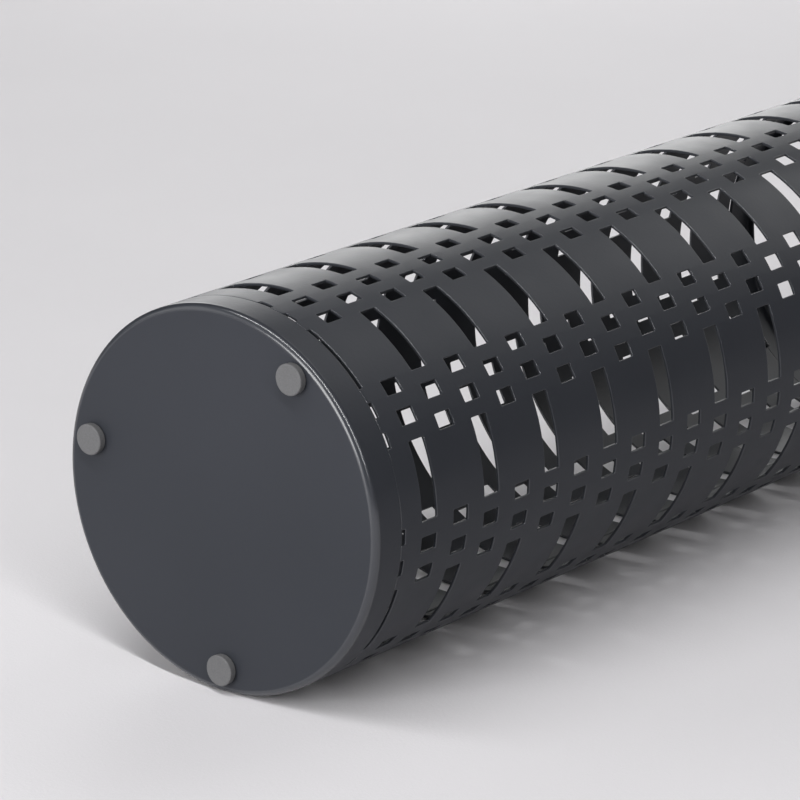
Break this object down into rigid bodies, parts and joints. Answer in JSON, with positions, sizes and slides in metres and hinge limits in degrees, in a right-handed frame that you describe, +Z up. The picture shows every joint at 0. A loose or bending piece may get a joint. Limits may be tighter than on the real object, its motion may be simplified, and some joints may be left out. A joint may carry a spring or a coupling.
{
  "type": "umbrella stand",
  "caption": "Round umbrella stand: tall tube of perforated sheet steel with a plaid hole pattern on a pressed base cup, plain mouth ring and rubber feet.",
  "frame": {"origin": "centre of the stand on the floor, in the plane of the feet's lower faces", "axes": "+Z up along the tube's axis, towards the open mouth; +Y towards the tube's long weld, so the front faces -Y"},
  "size_m": [0.15, 0.15, 0.4523],
  "materials": {
    "powder_coat": "charcoal powder coat, satin with a very fine orange peel",
    "foot_rubber": "mid-grey moulded rubber, matt",
    "adhesive_foam": "thin double-sided foam tape, matt"
  },
  "bodies": {
    "root": {"base_cup": "powder_coat", "perforated_tube": "powder_coat", "mouth_ring": "powder_coat", "tube_seam_weld": "powder_coat", "base_tack_welds": "powder_coat", "mouth_tack_welds": "powder_coat", "foot_1": "foot_rubber", "foot_2": "foot_rubber", "foot_3": "foot_rubber", "foot_pad_1": "adhesive_foam", "foot_pad_2": "adhesive_foam", "foot_pad_3": "adhesive_foam"}
  },
  "joints": []
}
